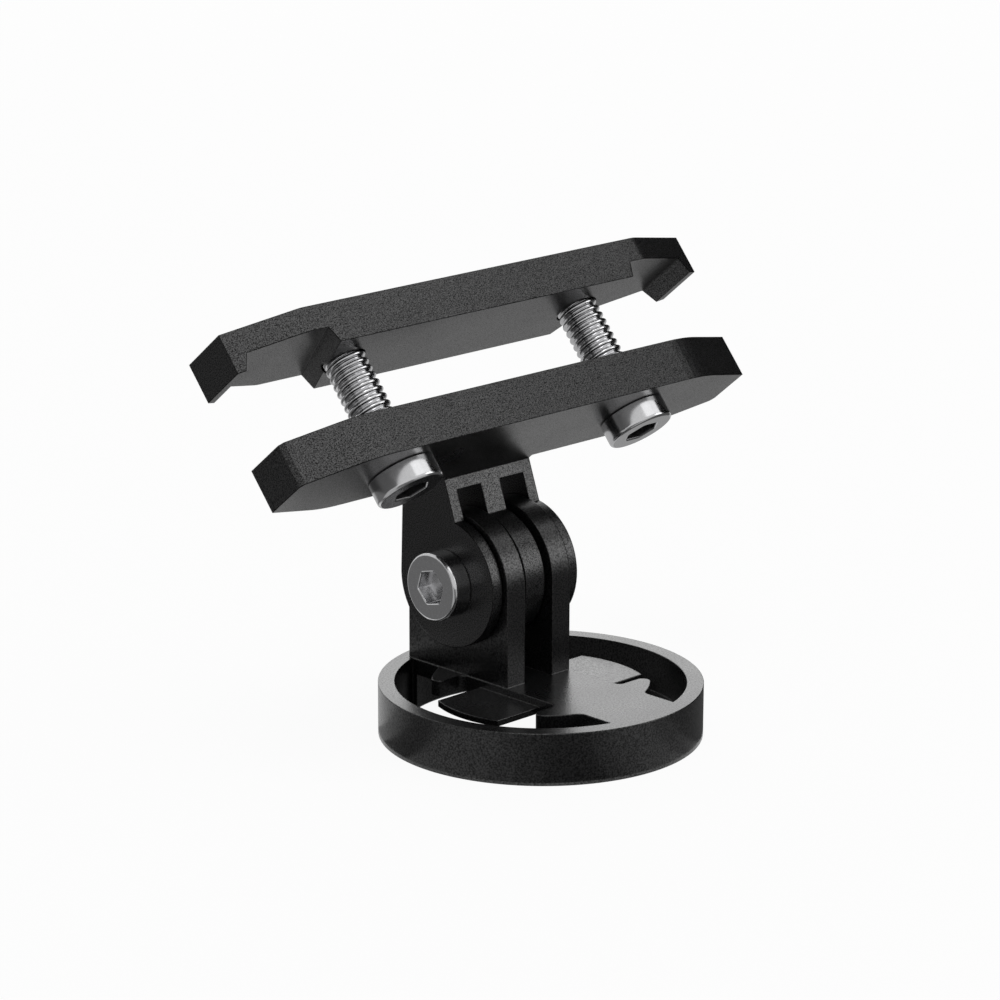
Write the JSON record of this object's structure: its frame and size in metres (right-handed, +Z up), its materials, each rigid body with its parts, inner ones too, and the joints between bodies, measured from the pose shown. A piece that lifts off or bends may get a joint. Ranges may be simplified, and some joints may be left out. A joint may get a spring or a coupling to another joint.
{
  "type": "saddle rail camera mount",
  "caption": "Saddle rail camera mount: a two-bar rail clamp tightened by two screws, tilting on a three-prong hinge over a quarter-turn socket disc.",
  "frame": {"origin": "Centre of the quarter-turn socket's mouth, on the disc's bottom face.", "axes": "+Z is up, out of the disc's closed side. +X runs along the clamp bars and the pivot screw, to the side of the pivot nut. -Y is the side over which the bars lie."},
  "size_m": [0.0718, 0.0389, 0.0519],
  "materials": {
    "black_satin": "fine-grained satin black anodising",
    "bright_steel": "bright turned stainless steel"
  },
  "bodies": {
    "base": {"socket_base": "black_satin"},
    "head": {"lower_bar": "black_satin", "pivot_nut": "bright_steel"},
    "upper_clamp": {"upper_bar": "black_satin"},
    "left_screw": {"clamp_screw_left": "bright_steel"},
    "right_screw": {"clamp_screw_right": "bright_steel"},
    "pivot_bolt": {"pivot_screw": "bright_steel"}
  },
  "joints": [
    {"name": "head_tilt", "type": "hinge", "parent": "base", "child": "head", "pos_m": [0, 0.00845, 0.01713], "axis": [1, 0, 0], "range_deg": [-90, 90]},
    {"name": "upper_bar_slide", "type": "slide", "parent": "head", "child": "upper_clamp", "axis": [0, 0.6428, 0.766], "range_m": [-0.0085, 0.0018]},
    {"name": "left_screw_turn", "type": "hinge", "parent": "head", "child": "left_screw", "pos_m": [-0.01828, 0.00366, 0.03358], "axis": [0, 0.6428, 0.766], "range_deg": [-730, 3410]},
    {"name": "right_screw_turn", "type": "hinge", "parent": "head", "child": "right_screw", "pos_m": [0.01828, 0.00366, 0.03358], "axis": [0, 0.6428, 0.766], "range_deg": [-730, 3410]},
    {"name": "pivot_screw_turn", "type": "hinge", "parent": "head", "child": "pivot_bolt", "pos_m": [-0.00675, 0.00845, 0.01713], "axis": [1, 0, 0], "range_deg": [-360, 0]}
  ],
  "couplings": [
    {"joint": "left_screw_turn", "follows": "upper_bar_slide", "rad_per_m": -6981.3},
    {"joint": "right_screw_turn", "follows": "upper_bar_slide", "rad_per_m": -6981.3}
  ]
}
